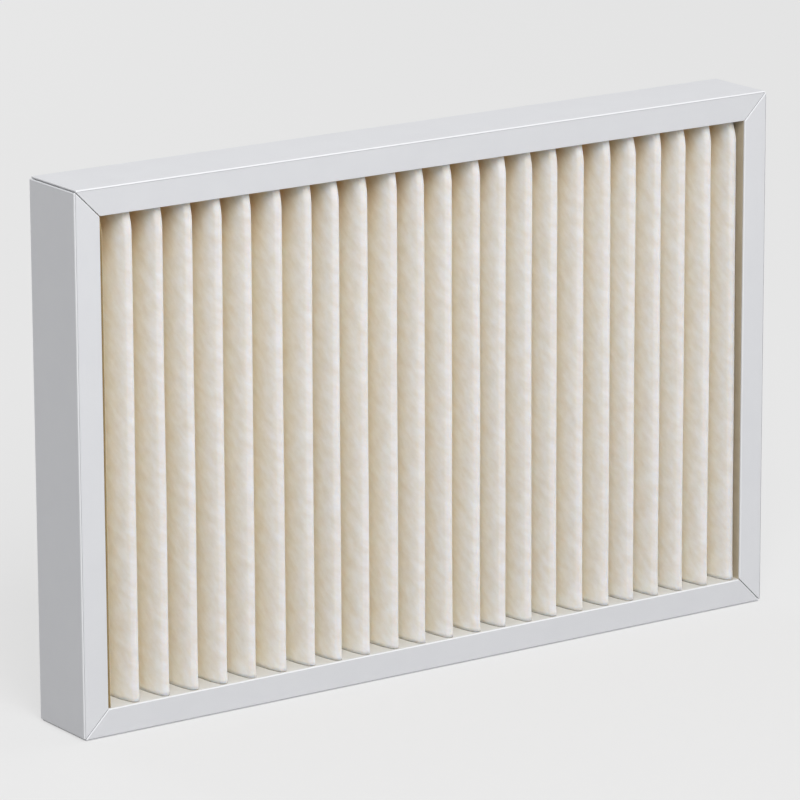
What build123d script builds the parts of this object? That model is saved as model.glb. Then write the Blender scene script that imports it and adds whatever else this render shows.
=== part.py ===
# Pleated panel air filter.
# Four hollow extruded rails, sawn at 45 degrees and joined by L-shaped keys, hold one folded sheet of media.
# The pleats stand on beds of sealant that fill the pocket along the inner side of each rail.
#
# Frame: X runs along the width, Y from the front face (-Y) to the rear face (+Y), Z up.
# The origin is at the middle of the underside.

import os
from math import asin, atan2, hypot, sin, sqrt, tan

from build123d import *

# Overall size, in millimetres
frame_width = 444.5
frame_height = 292.1
frame_depth = 44.45

# Rail profile: a box section with a web between two chambers, and a shallow pocket between two lips
border_width = 15.0
wall_thickness = 1.5
web_thickness = 1.2
lip_thickness = 1.5
pocket_depth = 2.0
edge_radius = 0.8
lip_radius = 0.4
mitre_gap = 0.16

# Corner keys: one in the front chamber and one in the rear chamber of each corner
key_reach = 24.0
key_clearance = 0.12
key_tip_taper = 1.5
key_groove_count = 3
key_groove_pitch = 6.0
key_first_groove = 5.0
key_groove_width = 2.0
key_groove_depth = 0.8

# Pleated media
pleat_count = 23
media_thickness = 2.0
fold_inner_radius = 0.6
crest_setback = 2.25
last_crest_margin = 4.6
bead_width = 1.6

# The opening and the rail's hollows
opening_width = frame_width - 2 * border_width
opening_height = frame_height - 2 * border_width
wall_left = -opening_width / 2
wall_right = opening_width / 2
floor_z = border_width
pocket_width = frame_depth - 2 * lip_thickness
chamber_height = border_width - pocket_depth - 2 * wall_thickness
chamber_width = (frame_depth - 2 * wall_thickness - web_thickness) / 2
chamber_offset = (chamber_width + web_thickness) / 2

# The fold: the middle of the sheet goes round circles of one radius, joined by straight flanks.
# corner_y is where two flanks of a crest would meet, and touch_y where the end leaf meets the left wall.
pleat_pitch = (opening_width - last_crest_margin) / pleat_count
fold_radius = fold_inner_radius + media_thickness / 2
crest_y = -frame_depth / 2 + crest_setback
circle_y = crest_y + media_thickness / 2 + fold_radius
circle_spacing = hypot(pleat_pitch / 2, 2 * circle_y)
flank_angle = atan2(pleat_pitch / 2, -2 * circle_y) - asin(2 * fold_radius / circle_spacing)
corner_y = circle_y - fold_radius / sin(flank_angle)
touch_y = corner_y + media_thickness / 2 / sin(flank_angle)


def rail(length):
    # Lies along X on its outer face, lips upward, with both ends sawn at 45 degrees.
    profile = Pos(0, border_width / 2) * Rectangle(frame_depth, border_width)
    profile = fillet(profile.vertices().group_by(Axis.Y)[0], edge_radius)
    profile -= Pos(0, border_width - pocket_depth / 2) * Rectangle(pocket_width, pocket_depth)
    profile = fillet(profile.vertices().group_by(Axis.Y)[-1], lip_radius)
    for side in (-1, 1):
        chamber = Rectangle(chamber_width, chamber_height)
        profile -= Pos(side * chamber_offset, wall_thickness + chamber_height / 2) * chamber
    bar = extrude(Plane.YZ * profile, length / 2, both=True)
    outer_half = length / 2 - mitre_gap / sqrt(2)
    inner_half = outer_half - border_width
    outline = Polyline(
        (-outer_half, 0),
        (outer_half, 0),
        (inner_half, border_width),
        (-inner_half, border_width),
        close=True,
    )
    return bar & extrude(Plane.XZ * make_face(outline), frame_depth, both=True)


def corner_key():
    # An L for the bottom left corner, drawn in X and Z from the outer corner of the two chambers.
    thickness = chamber_height - 2 * key_clearance
    leg = chamber_height + key_reach
    outline = Polyline(
        (0, 0),
        (leg, 0),
        (leg, thickness),
        (thickness, thickness),
        (thickness, leg),
        (0, leg),
        close=True,
    )
    face = make_face(outline)
    tips = [v for v in face.vertices() if max(v.X, v.Y) > leg - key_tip_taper]
    face = chamfer(tips, key_tip_taper)
    groove = Rectangle(key_groove_width, key_groove_depth)
    for i in range(key_groove_count):
        along = leg - key_first_groove - key_groove_pitch * i
        for across in (key_groove_depth / 2, thickness - key_groove_depth / 2):
            face -= Pos(along, across) * groove
            face -= Pos(across, along) * Rot(0, 0, 90) * groove
    corner = wall_thickness + key_clearance
    place = Plane(origin=(corner - frame_width / 2, 0, corner), x_dir=(1, 0, 0), z_dir=(0, -1, 0))
    return extrude(place * face, chamber_width / 2 - key_clearance, both=True)


def media_path():
    # The middle of the sheet seen from above, from the left end leaf to the leaf along the right wall.
    start_y = max(crest_y + media_thickness / 2 * sin(flank_angle), touch_y)
    tail_x = wall_right - media_thickness / 2
    bend_y = corner_y + (last_crest_margin - media_thickness / 2) / tan(flank_angle)
    points = [(wall_left + (start_y - corner_y) * tan(flank_angle), start_y)]
    for i in range(pleat_count):
        points.append((wall_left + (i + 0.5) * pleat_pitch, -corner_y))
        points.append((wall_left + (i + 1) * pleat_pitch, corner_y))
    points += [(tail_x, bend_y), (tail_x, -crest_y)]
    return FilletPolyline(*points, radius=fold_radius)


def pleated_sheet():
    section = trace(media_path(), media_thickness)
    return Pos(0, 0, floor_z) * extrude(section, opening_height)


def pleat_bed():
    # Fills the bottom rail's pocket between the side beds, level with the lips.
    bed = Box(opening_width, pocket_width, pocket_depth, align=(Align.CENTER, Align.CENTER, Align.MAX))
    return Pos(0, 0, floor_z) * bed


def side_bed():
    # Fills the right rail's pocket from the bottom rail's pocket floor to the top one's.
    height = opening_height + 2 * pocket_depth
    bed = Box(pocket_depth, pocket_width, height, align=(Align.MIN, Align.CENTER, Align.MIN))
    return Pos(wall_right, 0, floor_z - pocket_depth) * bed


def leaf_bead(media):
    # Sealant in the wedge between the left wall and the end leaf, down to where the wedge is bead_width wide.
    deep_y = touch_y + bead_width / tan(flank_angle)
    outline = Polyline(
        (wall_left, max(crest_y, touch_y)),
        (wall_left, deep_y),
        (wall_left + bead_width + media_thickness / 2, deep_y),
        close=True,
    )
    wedge = Pos(0, 0, floor_z) * extrude(make_face(outline), opening_height)
    return wedge - media


def half_turn(shape):
    # About the frame's middle, so that bottom goes to top and left goes to right.
    return Pos(0, 0, frame_height) * Rot(0, 180, 0) * shape


long_rail = rail(frame_width)
short_rail = rail(frame_height)
media = pleated_sheet()
bottom_bed = pleat_bed()
right_bed = side_bed()

pieces = {
    "bottom_rail": long_rail,
    "top_rail": half_turn(long_rail),
    "left_rail": Pos(-frame_width / 2, 0, frame_height / 2) * Rot(0, 90, 0) * short_rail,
    "right_rail": Pos(frame_width / 2, 0, frame_height / 2) * Rot(0, -90, 0) * short_rail,
    "pleated_media": media,
    "bottom_bond": bottom_bed,
    "top_bond": half_turn(bottom_bed),
    "left_bond": half_turn(right_bed) + leaf_bead(media),
    "right_bond": right_bed,
}

for chamber, side in (("front", -1), ("rear", 1)):
    left_key = Pos(0, side * chamber_offset, 0) * corner_key()
    right_key = mirror(left_key, Plane.YZ)
    pieces[f"bottom_left_{chamber}_key"] = left_key
    pieces[f"bottom_right_{chamber}_key"] = right_key
    pieces[f"top_left_{chamber}_key"] = half_turn(right_key)
    pieces[f"top_right_{chamber}_key"] = half_turn(left_key)

os.makedirs("parts", exist_ok=True)
for name, piece in pieces.items():
    export_step(piece, f"parts/{name}.step")
    print(name, round(piece.volume), "cubic mm")
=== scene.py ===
from math import asin, atan2, cos, pi, radians, sin, sqrt, tan

import bmesh
import bpy
from mathutils import Matrix, Vector, noise
from mathutils.geometry import interpolate_bezier


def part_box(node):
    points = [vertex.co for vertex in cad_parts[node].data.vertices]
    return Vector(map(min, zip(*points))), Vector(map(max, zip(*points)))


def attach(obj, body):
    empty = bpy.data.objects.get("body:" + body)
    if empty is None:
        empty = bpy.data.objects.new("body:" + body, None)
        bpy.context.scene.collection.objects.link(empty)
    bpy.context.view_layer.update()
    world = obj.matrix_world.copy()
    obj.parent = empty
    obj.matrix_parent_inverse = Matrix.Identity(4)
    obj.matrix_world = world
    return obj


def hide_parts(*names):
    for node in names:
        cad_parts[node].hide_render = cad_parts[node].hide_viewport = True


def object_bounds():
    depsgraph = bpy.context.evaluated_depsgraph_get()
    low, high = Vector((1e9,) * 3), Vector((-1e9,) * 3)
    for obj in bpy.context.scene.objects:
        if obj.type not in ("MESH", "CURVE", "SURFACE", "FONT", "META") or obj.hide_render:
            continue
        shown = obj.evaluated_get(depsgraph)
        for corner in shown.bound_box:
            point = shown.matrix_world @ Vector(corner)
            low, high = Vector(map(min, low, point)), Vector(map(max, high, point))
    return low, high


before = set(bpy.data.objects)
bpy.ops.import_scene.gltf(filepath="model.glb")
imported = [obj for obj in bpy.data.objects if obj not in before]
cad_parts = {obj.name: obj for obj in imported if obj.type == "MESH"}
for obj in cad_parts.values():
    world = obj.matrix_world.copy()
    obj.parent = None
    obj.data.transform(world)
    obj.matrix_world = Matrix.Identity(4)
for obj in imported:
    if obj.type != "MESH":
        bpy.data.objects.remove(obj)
cadLow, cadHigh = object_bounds()
mm = 0.001   # the object's own sizes are in millimetres, and those of the stage, lamps and camera in metres


def linear(hexColour):
    # sRGB hex to the linear colour that shaders take
    channels = [int(hexColour[i:i + 2], 16) / 255 for i in (1, 3, 5)]
    return [c / 12.92 if c <= 0.04045 else ((c + 0.055) / 1.055) ** 2.4 for c in channels] + [1.0]


def addNode(tree, kind, settings={}, inputs={}):
    # settings are the node's own properties, inputs are values or the sockets to link from
    node = tree.nodes.new(kind)
    for name, value in settings.items():
        setattr(node, name, value)
    for name, value in inputs.items():
        if isinstance(value, bpy.types.NodeSocket):
            tree.links.new(value, node.inputs[name])
        else:
            node.inputs[name].default_value = value
    return node


def newMaterial(name):
    material = bpy.data.materials.new(name)
    material.use_nodes = True
    material.node_tree.nodes.clear()
    return material, material.node_tree


def addSurface(tree, inputs):
    shader = addNode(tree, "ShaderNodeBsdfPrincipled", inputs=inputs)
    addNode(tree, "ShaderNodeOutputMaterial", inputs={"Surface": shader.outputs["BSDF"]})


# White rigid PVC, extruded and sawn: a satin skin, very slightly uneven, with faint die lines along the rail.
# Real die lines and grain are finer. These are as coarse as they need to be to show.
railFinish = dict(
    # the cross rails are toned a little darker than the uprights: painted shade on the top and bottom rails
    crossRailsShaded=("#dbdce0", "#e1e2e5"), uprights=("#dedfe3", "#e4e5e8"),   # the darkest and palest of each
    # the rounded edges take a paler tone: a painted highlight
    edgeHighlight="#eff0f3", sawn="#d9dadd", roughness=(0.42, 0.51), ior=1.53, specular=0.35,
    cloud=22.0, dieLine=1.6, dieLineStretch=25.0, dieLineDepth=0.5, grain=0.9, grainHeight=0.02)


def makeRailPvc(name, alongX):
    material, tree = newMaterial(name)
    place = addNode(tree, "ShaderNodeTexCoord").outputs["Object"]
    cloud = addNode(tree, "ShaderNodeTexNoise", inputs={
        "Vector": place, "Scale": 1 / (railFinish["cloud"] * mm),
        "Detail": 3.0, "Roughness": 0.55}).outputs["Fac"]
    # the top and bottom rails take the darker pair: painted shade
    dark, pale = railFinish["crossRailsShaded" if alongX else "uprights"]
    colour = addNode(tree, "ShaderNodeMix", {"data_type": "RGBA"}, {
        "Factor": cloud, "A": linear(dark), "B": linear(pale)}).outputs["Result"]
    # the rounded edges take a paler tone, a painted highlight, and the sawn ends hold dust
    for kind in ("edgeHighlight", "sawn"):
        mark = addNode(tree, "ShaderNodeAttribute", {"attribute_name": kind}).outputs["Fac"]
        colour = addNode(tree, "ShaderNodeMix", {"data_type": "RGBA"}, {
            "Factor": mark, "A": colour, "B": linear(railFinish[kind])}).outputs["Result"]
    squeeze = 1 / railFinish["dieLineStretch"]
    drawn = addNode(tree, "ShaderNodeMapping", inputs={
        "Vector": place, "Scale": (squeeze, 1, 1) if alongX else (1, 1, squeeze)})
    lines = addNode(tree, "ShaderNodeTexNoise", inputs={
        "Vector": drawn.outputs["Vector"], "Scale": 1 / (railFinish["dieLine"] * mm), "Detail": 2.0})
    grain = addNode(tree, "ShaderNodeTexNoise", inputs={
        "Vector": place, "Scale": 1 / (railFinish["grain"] * mm), "Detail": 2.0})
    height = addNode(tree, "ShaderNodeMath", {"operation": "MULTIPLY_ADD"}, {
        0: lines.outputs["Fac"], 1: railFinish["dieLineDepth"], 2: grain.outputs["Fac"]})
    bump = addNode(tree, "ShaderNodeBump", inputs={
        "Height": height.outputs["Value"], "Distance": railFinish["grainHeight"] * mm, "Strength": 1.0})
    smoothest, roughest = railFinish["roughness"]
    rough = addNode(tree, "ShaderNodeMapRange", inputs={
        "Value": cloud, "To Min": smoothest, "To Max": roughest})
    addSurface(tree, {
        "Base Color": colour, "Roughness": rough.outputs["Result"], "Normal": bump.outputs["Normal"],
        "IOR": railFinish["ior"], "Specular IOR Level": railFinish["specular"]})
    return material


# Polyester fibre, carded and thermally bonded into a thick felt: cream, dull, cloudy where the web is denser.
# Real fibres are far finer. These are as coarse as they need to be to show.
mediaFinish = dict(
    # tones from mid-depth out to the folds, and how far out each one ends or starts: painted shade, creamier
    # deep in the valleys and greyer on the noses to dim their light
    inner="#faeed9", innerEnd=3.0, flank="#f3f0ed", flankStart=15.5,
    noseShade="#eceaeb", noseStart=18.2, noseFull=19.6,
    cloudShade="#f4f0e9", cloudStart=0.35, cloudFull=0.7, cloud=5.6, cloudLength=9.5, lumpHeight=0.14,
    fibre=0.9, fibreLength=4.0, fibreHeight=0.035, slant=-46.0,
    # painted shade under the top lip: a deeper, warmer tone inside the valleys towards the top, by height
    # above the foot
    topShade="#efdcb8", topStart=225.0, topFull=262.0,
    # painted shade: a dark brown along the sheet's end beside the left lip, and this many times narrower
    # along its foot on the bed
    rimShade="#8f7c50", rimShadeFull=1.0, rimShadeEnd=2.0, endToFoot=8.0,
    roughness=0.93, specular=0.2, sheen=0.5, sheenRoughness=0.5, scatter=4.0, scatterTint=(1.0, 0.85, 0.7))


def slantedNoise(tree, flat, width, length, detail, roughness):
    # clouds or fibres, drawn out along the web's slant in the sheet's own flat coordinates
    drawn = addNode(tree, "ShaderNodeMapping", {"vector_type": "TEXTURE"}, {
        "Vector": flat, "Scale": (length / width, 1, 1),
        "Rotation": (0, 0, radians(mediaFinish["slant"]))})
    pattern = addNode(tree, "ShaderNodeTexNoise", inputs={
        "Vector": drawn.outputs["Vector"], "Scale": 1 / (width * mm),
        "Detail": detail, "Roughness": roughness})
    return pattern.outputs["Fac"]


def makeMedia():
    material, tree = newMaterial("bondedPolyesterFelt")
    flat = addNode(tree, "ShaderNodeUVMap", {"uv_map": "flatSheet"}).outputs["UV"]
    place = addNode(tree, "ShaderNodeTexCoord").outputs["Object"]
    cloud = slantedNoise(
        tree, flat, mediaFinish["cloud"], mediaFinish["cloudLength"], detail=4.0, roughness=0.6)
    fibres = slantedNoise(
        tree, flat, mediaFinish["fibre"], mediaFinish["fibreLength"], detail=3.0, roughness=0.5)
    depth = addNode(tree, "ShaderNodeSeparateXYZ", inputs={"Vector": place}).outputs["Y"]
    fromMiddle = addNode(tree, "ShaderNodeMath", {"operation": "ABSOLUTE"}, {0: depth}).outputs["Value"]
    onSheet = addNode(tree, "ShaderNodeSeparateXYZ", inputs={"Vector": flat}).outputs

    # painted shade on both faces: creamier half-way between the folds, deep in the valleys, whiter towards
    # the folds, and greyer on the noses to dim their light
    reach = {}
    for layer, value, start, end in (
            ("flank", fromMiddle, "innerEnd", "flankStart"),
            ("noseShade", fromMiddle, "noseStart", "noseFull"),
            ("topShade", onSheet["Y"], "topStart", "topFull")):
        reach[layer] = addNode(tree, "ShaderNodeMapRange", inputs={
            "Value": value, "From Min": mediaFinish[start] * mm,
            "From Max": mediaFinish[end] * mm}).outputs["Result"]
    inside = addNode(tree, "ShaderNodeMath", {"operation": "SUBTRACT"}, {0: 1.0, 1: reach["flank"]})
    # the painted shade under the top lip falls only inside the valleys
    shadeUnderTop = addNode(tree, "ShaderNodeMath", {"operation": "MULTIPLY"}, {
        0: reach["topShade"], 1: inside.outputs["Value"]})
    dense = addNode(tree, "ShaderNodeMapRange", inputs={
        "Value": cloud, "From Min": mediaFinish["cloudStart"], "From Max": mediaFinish["cloudFull"]})
    # painted shade along the sheet's end and its foot, darkest at the rim
    fromFoot = addNode(tree, "ShaderNodeMath", {"operation": "MULTIPLY"}, {
        0: onSheet["Y"], 1: mediaFinish["endToFoot"]})
    fromRim = addNode(tree, "ShaderNodeMath", {"operation": "MINIMUM"}, {
        0: onSheet["X"], 1: fromFoot.outputs["Value"]})
    rimShaded = addNode(tree, "ShaderNodeMapRange", inputs={
        "Value": fromRim.outputs["Value"], "From Min": mediaFinish["rimShadeFull"] * mm,
        "From Max": mediaFinish["rimShadeEnd"] * mm, "To Min": 1.0, "To Max": 0.0})

    colour = linear(mediaFinish["inner"])
    for blend, amount, layer in (
            ("MIX", reach["flank"], "flank"),
            ("MIX", reach["noseShade"], "noseShade"),
            ("MULTIPLY", dense.outputs["Result"], "cloudShade"),
            ("MULTIPLY", shadeUnderTop.outputs["Value"], "topShade"),
            ("MIX", rimShaded.outputs["Result"], "rimShade")):
        colour = addNode(tree, "ShaderNodeMix", {"data_type": "RGBA", "blend_type": blend}, {
            "Factor": amount, "A": colour, "B": linear(mediaFinish[layer])}).outputs["Result"]

    lumps = addNode(tree, "ShaderNodeBump", inputs={
        "Height": cloud, "Distance": mediaFinish["lumpHeight"] * mm, "Strength": 1.0})
    bump = addNode(tree, "ShaderNodeBump", inputs={
        "Height": fibres, "Distance": mediaFinish["fibreHeight"] * mm, "Strength": 1.0,
        "Normal": lumps.outputs["Normal"]})
    addSurface(tree, {
        "Base Color": colour, "Normal": bump.outputs["Normal"],
        "Roughness": mediaFinish["roughness"], "Specular IOR Level": mediaFinish["specular"],
        "Sheen Weight": mediaFinish["sheen"], "Sheen Roughness": mediaFinish["sheenRoughness"],
        "Subsurface Weight": 1.0, "Subsurface Scale": mediaFinish["scatter"] * mm,
        "Subsurface Radius": mediaFinish["scatterTint"]})
    return material


# Polyurethane sealant, poured and cured in the pocket: off-white, smooth, with slow level changes
sealantFinish = dict(pale="#e0e0dd", dark="#d6d5d0", cloud=6.0, height=0.15, roughness=0.55)

# Ethylene-vinyl acetate hot melt, run along both end leaves, smooth; its tan, darker tone is painted shade
# for the narrow gap at the right end
hotMeltShadeFinish = dict(pale="#cfc4ae", dark="#bbad94", cloud=6.0, height=0.15, roughness=0.5)

# Glass-filled nylon, moulded: natural grey-white with a matt spark texture, drawn coarser than it is, to show
keyFinish = dict(pale="#cfd0cc", dark="#bfc0bb", cloud=0.8, height=0.03, roughness=0.6)


def makeCast(name, finish):
    # Poured or moulded plastic, whose tone and surface vary together
    material, tree = newMaterial(name)
    place = addNode(tree, "ShaderNodeTexCoord").outputs["Object"]
    cloud = addNode(tree, "ShaderNodeTexNoise", inputs={
        "Vector": place, "Scale": 1 / (finish["cloud"] * mm), "Detail": 2.0}).outputs["Fac"]
    colour = addNode(tree, "ShaderNodeMix", {"data_type": "RGBA"}, {
        "Factor": cloud, "A": linear(finish["dark"]), "B": linear(finish["pale"])})
    bump = addNode(tree, "ShaderNodeBump", inputs={
        "Height": cloud, "Distance": finish["height"] * mm, "Strength": 1.0})
    addSurface(tree, {
        "Base Color": colour.outputs["Result"], "Normal": bump.outputs["Normal"],
        "Roughness": finish["roughness"]})
    return material


def addPiece(bm, name, material, replaced):
    mesh = bpy.data.meshes.new(name)
    bm.to_mesh(mesh)
    bm.free()
    mesh.materials.append(material)
    piece = bpy.data.objects.new(name, mesh)
    bpy.context.scene.collection.objects.link(piece)
    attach(piece, "root")
    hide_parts(replaced)
    return piece


rail = dict(
    border=15.0, depth=44.45, wall=1.5, web=1.2, pocket=2.0,   # the lips are as thick as the walls
    jointGap=0.45,
    tip=0.85,   # how much of each mitre's sharp tip is blunted, a little more than the outer edges' radius
    outerEdge=(0.8, 5), lipEdge=(0.5, 4), sawnEdge=(0.45, 3),   # radius, and the steps that round it
    sharpAngle=50.0, flatWeight=100)
near = 1e-4       # mm, to find edges by their place
cutFacing = 0.7   # a sawn face looks at least this far along the rail


def cutSection(bm):
    # The rail's section, outer side down: a grid cut along the walls, less the pocket and the two chambers
    half, wall, halfWeb = rail["depth"] / 2, rail["wall"], rail["web"] / 2
    pocketFloor = rail["border"] - rail["pocket"]
    bmesh.ops.create_grid(bm, x_segments=1, y_segments=1, size=0.5)
    bmesh.ops.scale(bm, vec=(rail["depth"], rail["border"], 1), verts=bm.verts)
    bmesh.ops.translate(bm, vec=(0, rail["border"] / 2, 0), verts=bm.verts)
    cuts = [((x, 0, 0), (1, 0, 0)) for x in (wall - half, -halfWeb, halfWeb, half - wall)]
    cuts += [((0, y, 0), (0, 1, 0)) for y in (rail["tip"], wall, pocketFloor - wall, pocketFloor)]
    for place, across in cuts:
        geometry = bm.verts[:] + bm.edges[:] + bm.faces[:]
        bmesh.ops.bisect_plane(bm, geom=geometry, plane_co=place, plane_no=across)
    hollow = []
    for face in bm.faces:
        middle = face.calc_center_median()
        inPocket = abs(middle.x) < half - wall and middle.y > pocketFloor
        inChamber = halfWeb < abs(middle.x) < half - wall and wall < middle.y < pocketFloor - wall
        if inPocket or inChamber:
            hollow.append(face)
    bmesh.ops.delete(bm, geom=hollow, context="FACES")


def makeRail(length):
    # One rail along X on its outer side: the section stood up and drawn out, then mitred by shearing its ends
    bm = bmesh.new()
    cutSection(bm)
    bmesh.ops.transform(bm, matrix=Matrix(((0, 0, 1), (1, 0, 0), (0, 1, 0))).to_4x4(), verts=bm.verts)
    bmesh.ops.translate(bm, vec=(-length / 2, 0, 0), verts=bm.verts)
    drawn = bmesh.ops.extrude_face_region(bm, geom=bm.faces[:])["geom"]
    farVerts = [v for v in drawn if isinstance(v, bmesh.types.BMVert)]
    bmesh.ops.translate(bm, vec=(length, 0, 0), verts=farVerts)
    bmesh.ops.recalc_face_normals(bm, faces=bm.faces)
    half, border, wall = rail["depth"] / 2, rail["border"], rail["wall"]
    edgeHighlight, sawn = (bm.faces.layers.float.new(kind) for kind in ("edgeHighlight", "sawn"))

    def longEdges(y, z):
        return [e for e in bm.edges
                if all(abs(abs(v.co.y) - y) < near and abs(v.co.z - z) < near for v in e.verts)]

    def roundEdges(edges, radius, steps):
        rounded = bmesh.ops.bevel(
            bm, geom=edges, offset=radius, offset_type="OFFSET", segments=steps, profile=0.5,
            affect="EDGES", material=-1, clamp_overlap=False)
        # the rounded faces are marked for the painted highlight along the edges
        for face in rounded["faces"]:
            face[edgeHighlight] = 1.0

    roundEdges(longEdges(half, 0), *rail["outerEdge"])
    roundEdges(longEdges(half, border) + longEdges(half - wall, border), *rail["lipEdge"])

    # the sharp tips are blunted, so that every outer corner of the frame has a fine notch
    halfLength = length / 2 - rail["jointGap"] / sqrt(2)
    for vert in bm.verts:
        vert.co.x = (halfLength - max(vert.co.z, rail["tip"])) * (1 if vert.co.x > 0 else -1)
    bm.normal_update()
    rim = []
    for edge in bm.edges:
        outside = all(v.co.z < near or abs(v.co.y) > half - wall - near for v in edge.verts)
        cutFaces = [face for face in edge.link_faces if abs(face.normal.x) > cutFacing]
        if outside and len(cutFaces) == 1:
            rim.append(edge)
    roundEdges(rim, *rail["sawnEdge"])
    bmesh.ops.recalc_face_normals(bm, faces=bm.faces)
    bm.normal_update()
    for face in bm.faces:
        if abs(face.normal.x) > cutFacing:
            face[sawn] = 1.0
    bmesh.ops.scale(bm, vec=(mm, mm, mm), verts=bm.verts)
    return bm


def placeRails():
    width, height = cadHigh.x - cadLow.x, cadHigh.z - cadLow.z
    across, upright = makeRailPvc("extrudedPvcAcrossShaded", True), makeRailPvc("extrudedPvcUpright", False)
    places = {
        "bottom": (width, 0, (0, 0, 0), across),
        "top": (width, 180, (0, 0, height), across),
        "left": (height, 90, (cadLow.x, 0, height / 2), upright),
        "right": (height, -90, (cadHigh.x, 0, height / 2), upright),
    }
    for side, (length, turn, at, pvc) in places.items():
        bm = makeRail(length / mm)
        placed = Matrix.Translation(at) @ Matrix.Rotation(radians(turn), 4, "Y")
        bmesh.ops.transform(bm, matrix=placed, verts=bm.verts)
        piece = addPiece(bm, side + "Rail", pvc, side + "_rail")
        piece.data.shade_smooth()
        piece.data.set_sharp_from_angle(angle=radians(rail["sharpAngle"]))
        even = piece.modifiers.new("flatFaces", "WEIGHTED_NORMAL")
        even.keep_sharp = True
        even.weight = rail["flatWeight"]


placeRails()
print("rails: four mitred hollow lengths")


media = dict(
    pleats=23, thickness=2.0, innerRadius=0.6, depth=40.0, lastMargin=4.6, leafStart=-19.9,
    foldSteps=9, flankSteps=6, tailSteps=6, rows=44, rowBunching=0.6,
    # how far each crest stands from even spacing: the pleats are spread by hand
    shift=(0.6, 1.3, 1.5, 1.7, 1.9, 3.2, 3.9, 3.3, 3.4, 4.4, 4.2, 4.2,
           4.8, 3.9, 3.4, 2.2, 2.2, 2.4, 1.4, 0.9, -0.1, -0.4, -0.6),
    # the flanks' slack in degrees, and how unequal it is; how soft the last leaf's bend is
    slack=12.0, slackSpread=0.3, slackStep=0.71, slackRow=3.3, bendSoftness=0.04,
    # the pleats sway a little along their height, but not where the sheet's sides are pinned
    sway=0.35, swayWidth=26.0, swayDepth=90.0, swayHeight=90.0, pinned=6.0,
    # the front crests are tucked in under the top lip, unequally, and pressed out at their feet
    frontPower=3, tuck=2.6, tuckHeight=10.0, tuckPower=1.3, tuckSpread=0.6, tuckWidth=16.0, tuckRow=7.1,
    foot=0.5, footHeight=14.0, footPower=2,
    # the last crest leans out at its foot, and is tucked in further at its top
    lean=2.2, leanWidth=7.0, leanTuck=1.5)


def foldPath():
    # The middle of the sheet seen from above, in mm: round each fold's circle, and between them in a slack S
    low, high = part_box("pleated_media")
    left, right, front = low.x / mm, high.x / mm, low.y / mm
    radius = media["innerRadius"] + media["thickness"] / 2
    circleY = front + media["thickness"] / 2 + radius
    pitch = (right - left - media["lastMargin"]) / media["pleats"]
    crests = [left + pitch * (i + 1) + shift for i, shift in enumerate(media["shift"])]
    centres = [(left, circleY)]
    for before, crest in zip([left] + crests, crests):
        centres += [((before + crest) / 2, -circleY), (crest, circleY)]

    leans, slacks = [], []   # the angle across each flank, and how far both its ends turn outwards
    for i, (here, there) in enumerate(zip(centres, centres[1:])):
        run = Vector(there) - Vector(here)
        side = 1 if i % 2 == 0 else -1
        leans.append(atan2(run.y, run.x) - side * (pi / 2 - asin(2 * radius / run.length)))
        unequal = noise.noise(Vector((i * media["slackStep"], media["slackRow"], 0)))
        slacks.append(side * radians(media["slack"] * (1 + media["slackSpread"] * unequal)))
    leans.append(-leans[-1])
    slacks.append(0.0)
    points = []

    def onCircle(i, angle):
        return Vector(centres[i]) + radius * Vector((cos(angle), sin(angle)))

    def addFlank(start, end, heading):
        # it leaves and arrives at one heading, with handles a third of its length
        ahead = Vector((cos(heading), sin(heading))) * ((end - start).length / 3)
        curve = interpolate_bezier(start, start + ahead, end - ahead, end, media["flankSteps"] + 1)
        points.extend(point.xy for point in curve[:-1])

    # the first leaf starts straight at the left wall
    leave = onCircle(0, leans[0])
    slope = Vector((-sin(leans[0]), cos(leans[0])))
    start = leave + slope * (media["leafStart"] - leave.y) / slope.y
    slacks[0] = 0.0
    for i in range(1, len(centres)):
        atFront = i % 2 == 0
        side = -1 if atFront else 1
        arriveAngle = leans[i - 1] + pi - slacks[i - 1]
        leaveAngle = leans[i] - slacks[i] + (2 * pi if atFront else 0)
        addFlank(start, onCircle(i, arriveAngle), leans[i - 1] - slacks[i - 1] + side * pi / 2)
        for step in range(media["foldSteps"]):
            share = step / media["foldSteps"]
            points.append(onCircle(i, arriveAngle * (1 - share) + leaveAngle * share))
        start = onCircle(i, leaveAngle)

    # the last leaf runs out to the right wall and lies along it to the rear
    tailX = right - media["thickness"] / 2
    bend = Vector((tailX, start.y + (tailX - start.x) / tan(-leans[-1])))
    end = Vector((tailX, -front))
    points += [start] + [bend.lerp(to, media["bendSoftness"]) for to in (start, end)]
    points += [bend.lerp(end, (step + 1) / media["tailSteps"]) for step in range(media["tailSteps"])]
    return points


def settle(x, y, z, height, left, right, lastCrest):
    # Where a point of the soft sheet comes to rest, from its place on the folded line: its new x and y
    sway = media["sway"] * noise.noise(Vector((
        x / media["swayWidth"], y / media["swayDepth"], z / media["swayHeight"])))
    free = max(0.0, min(1.0, (x - left) / media["pinned"], (right - x) / media["pinned"]))
    forward = max(0.0, min(1.0, 0.5 - y / media["depth"])) ** media["frontPower"]
    nearTop = max(0.0, 1 - (height - z) / media["tuckHeight"]) ** media["tuckPower"]
    nearFoot = max(0.0, 1 - z / media["footHeight"]) ** media["footPower"]
    unequal = noise.noise(Vector((x / media["tuckWidth"], media["tuckRow"], 0)))
    tuck = media["tuck"] * (1 + media["tuckSpread"] * unequal)
    last = forward * max(0.0, 1 - abs(x - lastCrest) / media["leanWidth"])
    sway += last * media["lean"] * (0.5 - z / height)
    tuck *= 1 + media["leanTuck"] * last
    return x + sway * free, y + forward * (tuck * nearTop - media["foot"] * nearFoot)


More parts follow.
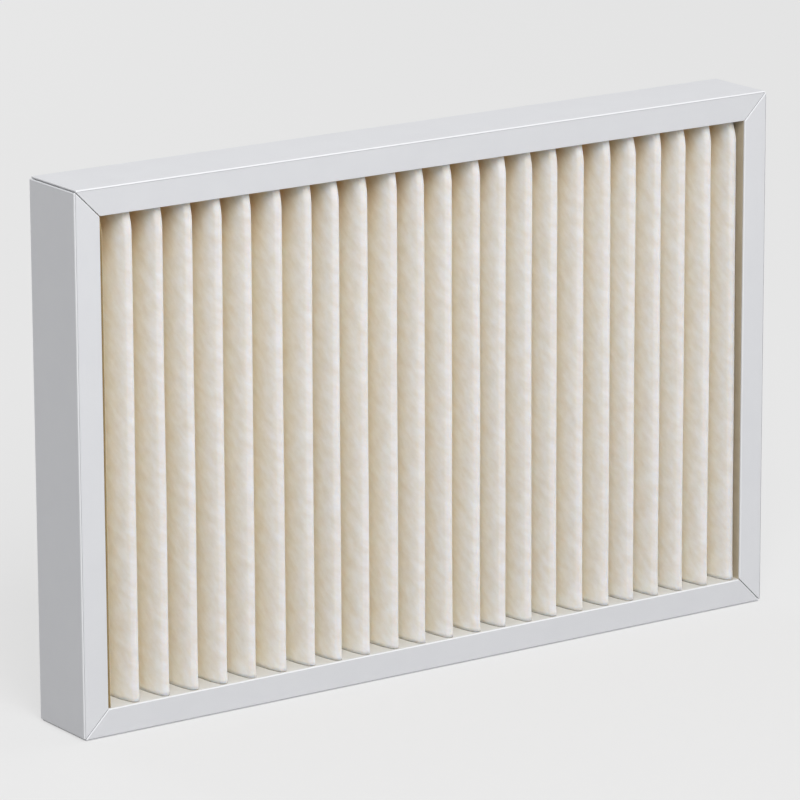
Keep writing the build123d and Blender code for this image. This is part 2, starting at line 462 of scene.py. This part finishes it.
def makePleats():
    low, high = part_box("pleated_media")
    height = (high.z - low.z) / mm
    path = foldPath()
    along = [0.0]
    for here, there in zip(path, path[1:]):
        along.append(along[-1] + (there - here).length)
    left, right = path[0].x, path[-1].x
    lastCrest = max(point.x for point in path if point.y < 0 and point.x < right - media["lastMargin"] / 2)

    bm = bmesh.new()
    columns, rows = len(path) - 1, media["rows"]
    bmesh.ops.create_grid(bm, x_segments=columns, y_segments=rows, size=0.5)
    uv = bm.loops.layers.uv.new("flatSheet")
    for vert in bm.verts:
        column = round((vert.co.x + 0.5) * columns)
        row = round((vert.co.y + 0.5) * rows)
        # rows stand closer at both ends
        bunching = media["rowBunching"] * sin(2 * pi * row / rows) / (2 * pi)
        z = (row / rows - bunching) * height
        for loop in vert.link_loops:
            loop[uv].uv = (along[column] * mm, z * mm)
        x, y = settle(*path[column], z, height, left, right, lastCrest)
        vert.co = (x, y, z)
    bmesh.ops.scale(bm, vec=(mm, mm, mm), verts=bm.verts)
    bmesh.ops.translate(bm, vec=(0, 0, low.z), verts=bm.verts)

    piece = addPiece(bm, "pleatedMedia", makeMedia(), "pleated_media")
    piece.data.shade_smooth()
    felt = piece.modifiers.new("feltThickness", "SOLIDIFY")
    felt.thickness = media["thickness"] * mm
    felt.offset = 0
    print("media: pleats", media["pleats"], "sheet length", round(along[-1]),
          "mm, faces", len(piece.data.polygons))


makePleats()


# The beds and the corner keys keep their CAD shapes
sealant = makeCast("curedPolyurethane", sealantFinish)
# the hot melt's tan tone is painted shade in the right end's gap
hotMeltShaded = makeCast("setHotMeltShaded", hotMeltShadeFinish)
nylon = makeCast("mouldedNylon", keyFinish)
beds = {"bottom_bond": sealant, "top_bond": sealant, "left_bond": hotMeltShaded, "right_bond": hotMeltShaded}
for name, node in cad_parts.items():
    material = nylon if name.endswith("_key") else beds.get(name)
    if material:
        node.data.materials.clear()
        node.data.materials.append(material)
print("sealant, hot melt and keys: finished")


stage = dict(
    floorSize=60.0, floor="#a0a0a0", floorRoughness=0.9, seenFloor="#898989", floorGlow=0.57,
    fadeStart=1.0, fadeFull=3.2, backdrop="#e6e6e6", sky=0.435)


def seenRays(tree):
    # 1 for the rays that show the floor or backdrop, straight or in gloss or glass, and 0 for all others
    rays = addNode(tree, "ShaderNodeLightPath").outputs
    seen = rays["Is Camera Ray"]
    for kind in ("Is Glossy Ray", "Is Transmission Ray"):
        either = addNode(tree, "ShaderNodeMath", {"operation": "MAXIMUM"}, {0: seen, 1: rays[kind]})
        seen = either.outputs["Value"]
    return seen


def makeFloor():
    bm = bmesh.new()
    bmesh.ops.create_grid(bm, x_segments=4, y_segments=4, size=stage["floorSize"] / 2)
    mesh = bpy.data.meshes.new("floor")
    bm.to_mesh(mesh)
    bm.free()
    floor = bpy.data.objects.new("floor", mesh)
    bpy.context.scene.collection.objects.link(floor)
    material, tree = newMaterial("paleFloor")
    seen = seenRays(tree)
    # far from the object the floor turns into the backdrop, so that no horizon shows
    place = addNode(tree, "ShaderNodeTexCoord")
    distance = addNode(tree, "ShaderNodeVectorMath", {"operation": "LENGTH"}, {0: place.outputs["Object"]})
    far = addNode(tree, "ShaderNodeMapRange", {"interpolation_type": "SMOOTHSTEP"}, {
        "Value": distance.outputs["Value"],
        "From Min": stage["fadeStart"], "From Max": stage["fadeFull"]}).outputs["Result"]
    fading = addNode(tree, "ShaderNodeMix", {"data_type": "RGBA"}, {
        "Factor": far, "A": linear(stage["seenFloor"]), "B": (0, 0, 0, 1)})
    paint = addNode(tree, "ShaderNodeMix", {"data_type": "RGBA"}, {
        "Factor": seen, "A": linear(stage["floor"]), "B": fading.outputs["Result"]})
    ownGlow = addNode(tree, "ShaderNodeMapRange", inputs={
        "Value": far, "To Min": stage["floorGlow"], "To Max": linear(stage["backdrop"])[0]})
    glow = addNode(tree, "ShaderNodeMath", {"operation": "MULTIPLY"}, {0: seen, 1: ownGlow.outputs["Result"]})
    addSurface(tree, {
        "Base Color": paint.outputs["Result"],
        "Roughness": stage["floorRoughness"], "Specular IOR Level": 0.0,
        "Emission Color": (1, 1, 1, 1), "Emission Strength": glow.outputs["Value"]})
    mesh.materials.append(material)


def makeBackdrop():
    world = bpy.data.worlds.new("studio")
    bpy.context.scene.world = world
    world.use_nodes = True
    tree = world.node_tree
    tree.nodes.clear()
    sky = addNode(tree, "ShaderNodeBackground", inputs={"Color": (1, 1, 1, 1), "Strength": stage["sky"]})
    backdrop = addNode(tree, "ShaderNodeBackground", inputs={
        "Color": linear(stage["backdrop"]), "Strength": 1.0})
    both = addNode(tree, "ShaderNodeMixShader", inputs={
        0: seenRays(tree), 1: sky.outputs["Background"], 2: backdrop.outputs["Background"]})
    addNode(tree, "ShaderNodeOutputWorld", inputs={"Surface": both.outputs["Shader"]})


makeFloor()
makeBackdrop()
print("stage: floor and backdrop")


# The two fill lamps stand low, and would whiten the top face at grazing angles if they were mirrored in it
lamps = dict(
    key=dict(watts=86.0, size=2.0, place=(-0.9, -2.4, 2.4), mirrored=True),
    side=dict(watts=20.0, size=1.2, place=(3.0, -0.6, 0.9), mirrored=False),
    back=dict(watts=36.0, size=1.4, place=(-0.1, 3.0, 0.5), mirrored=False))
lampAim = Vector((0, 0, 0.15))


def placeLamps():
    for name, setting in lamps.items():
        lamp = bpy.data.lights.new(name, "AREA")
        lamp.energy = setting["watts"]
        lamp.size = setting["size"]
        holder = bpy.data.objects.new(name, lamp)
        holder.location = setting["place"]
        holder.visible_glossy = setting["mirrored"]
        holder.rotation_euler = (lampAim - holder.location).to_track_quat("-Z", "Y").to_euler()
        bpy.context.scene.collection.objects.link(holder)


# place in metres, focal length and sensor in millimetres, roll in degrees
lens = dict(
    place=(-1.62873, -2.36370, 0.88690), ahead=(0.54758, 0.79849, -0.25016), roll=-0.24,
    focal=248.355, sensor=36, farthest=100)


def placeCamera():
    camera = bpy.data.cameras.new("camera")
    camera.lens = lens["focal"]
    camera.sensor_width = lens["sensor"]
    camera.clip_end = lens["farthest"]
    stand = bpy.data.objects.new("camera", camera)
    stand.location = lens["place"]
    ahead = Vector(lens["ahead"]).to_track_quat("-Z", "Y").to_matrix()
    stand.rotation_euler = (ahead @ Matrix.Rotation(radians(lens["roll"]), 3, "Z")).to_euler()
    bpy.context.scene.collection.objects.link(stand)
    bpy.context.scene.camera = stand


placeLamps()
placeCamera()
bpy.context.scene.view_settings.view_transform = "Standard"
print("studio: three lamps and the camera")
